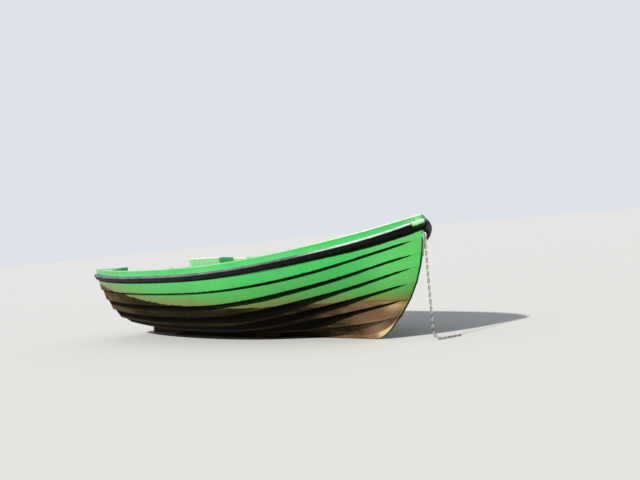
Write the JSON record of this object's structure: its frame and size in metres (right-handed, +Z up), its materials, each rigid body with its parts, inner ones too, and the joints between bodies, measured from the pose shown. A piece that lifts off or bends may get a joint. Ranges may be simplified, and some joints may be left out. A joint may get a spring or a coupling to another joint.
{
  "type": "rowing boat",
  "caption": "Open moulded rowing boat with imitation clinker planking, raised gunwales, a black rubber fender and a mooring chain at the bow.",
  "frame": {"origin": "middle of the boat's box, on the floor under the keel", "axes": "+X forward to the bow, +Y to port, +Z up"},
  "size_m": [4.0494, 1.6066, 0.9191],
  "materials": {
    "hull_gelcoat": "gloss, weathered, with slime stains below",
    "inner_gelcoat": "satin, faded",
    "fender_rubber": "matt, greyed on top",
    "galvanised_steel": "dull, with rust",
    "pad_wood": "weathered",
    "plug_brass": "dull"
  },
  "bodies": {
    "root": {"hull_shell": "hull_gelcoat", "gunwale_port": "hull_gelcoat", "gunwale_starboard": "hull_gelcoat", "breasthook": "hull_gelcoat", "transom_cap": "hull_gelcoat", "quarter_port": "inner_gelcoat", "quarter_starboard": "inner_gelcoat", "sole": "inner_gelcoat", "rowing_thwart": "inner_gelcoat", "thwart_box": "inner_gelcoat", "stern_seat": "inner_gelcoat", "stern_locker": "inner_gelcoat", "bow_seat": "inner_gelcoat", "bow_bulkhead": "inner_gelcoat", "fender_port": "fender_rubber", "fender_starboard": "fender_rubber", "transom_pad_outer": "pad_wood", "transom_pad_inner": "pad_wood", "rowlock_pad_port": "hull_gelcoat", "rowlock_pad_starboard": "hull_gelcoat", "rowlock_socket_port": "galvanised_steel", "rowlock_socket_starboard": "galvanised_steel", "stem_band": "galvanised_steel", "bow_eye": "galvanised_steel", "shackle": "galvanised_steel", "chain": "galvanised_steel", "stern_eye_port": "galvanised_steel", "stern_eye_starboard": "galvanised_steel", "drain_plug": "plug_brass"}
  },
  "joints": []
}
